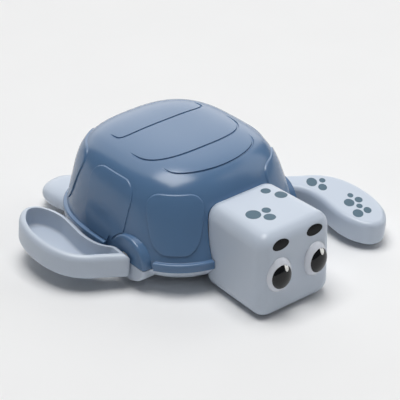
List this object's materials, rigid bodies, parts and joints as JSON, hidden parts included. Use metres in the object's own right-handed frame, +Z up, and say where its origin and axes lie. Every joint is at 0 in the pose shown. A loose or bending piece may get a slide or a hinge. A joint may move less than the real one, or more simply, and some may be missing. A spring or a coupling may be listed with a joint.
{
  "type": "wind-up bath toy",
  "caption": "Turtle-shaped bath toy with a domed shell, a box-shaped head and two scoop flippers that a spring motor turns on one axle.",
  "frame": {"origin": "middle of the flat under the belly, which the toy rests on", "axes": "+Z up, -Y towards the head, +X to the turtle's left along the flipper axle"},
  "size_m": [0.1448, 0.1459, 0.0536],
  "materials": {
    "shell": "blue-grey moulded ABS, satin gloss",
    "skin": "pale blue moulded ABS, satin gloss",
    "eye_white": "white moulded ABS, gloss",
    "pupil": "black moulded ABS, polished",
    "motor": "natural moulded ABS",
    "gear": "natural acetal",
    "steel": "stainless steel"
  },
  "bodies": {
    "hull": {"upper_shell": "shell", "belly_pan": "skin", "hull_screw_1": "steel", "hull_screw_2": "steel", "hull_screw_3": "steel", "hull_screw_4": "steel", "head_shell": "skin", "head_back_plate": "skin", "eye_white_right": "eye_white", "eye_white_left": "eye_white", "pupil_right": "pupil", "pupil_left": "pupil", "head_screw_right": "steel", "head_screw_left": "steel", "axle_bush_right": "gear", "axle_bush_left": "gear", "idler_pin": "steel", "mainspring": "steel", "motor_case_right": "motor", "motor_case_left": "motor", "motor_screw_1": "steel", "motor_screw_2": "steel", "motor_screw_3": "steel", "motor_screw_4": "steel"},
    "flippers": {"flipper_right": "skin", "flipper_left": "skin", "flipper_axle": "steel", "axle_gear": "gear"},
    "idler": {"idler_gear": "gear"},
    "spring": {"spring_gear": "gear", "spring_arbor": "steel"}
  },
  "joints": [
    {"name": "flipper_turn", "type": "hinge", "parent": "hull", "child": "flippers", "pos_m": [0, -0.0165, 0.0125], "axis": [1, 0, 0], "continuous": true},
    {"name": "idler_turn", "type": "hinge", "parent": "hull", "child": "idler", "pos_m": [0, -0.00967, 0.02432], "axis": [1, 0, 0], "continuous": true},
    {"name": "spring_turn", "type": "hinge", "parent": "hull", "child": "spring", "pos_m": [0, 0.00456, 0.01914], "axis": [1, 0, 0], "continuous": true}
  ],
  "couplings": [
    {"joint": "idler_turn", "follows": "flipper_turn", "ratio": -0.5},
    {"joint": "spring_turn", "follows": "flipper_turn", "ratio": 0.16667}
  ]
}
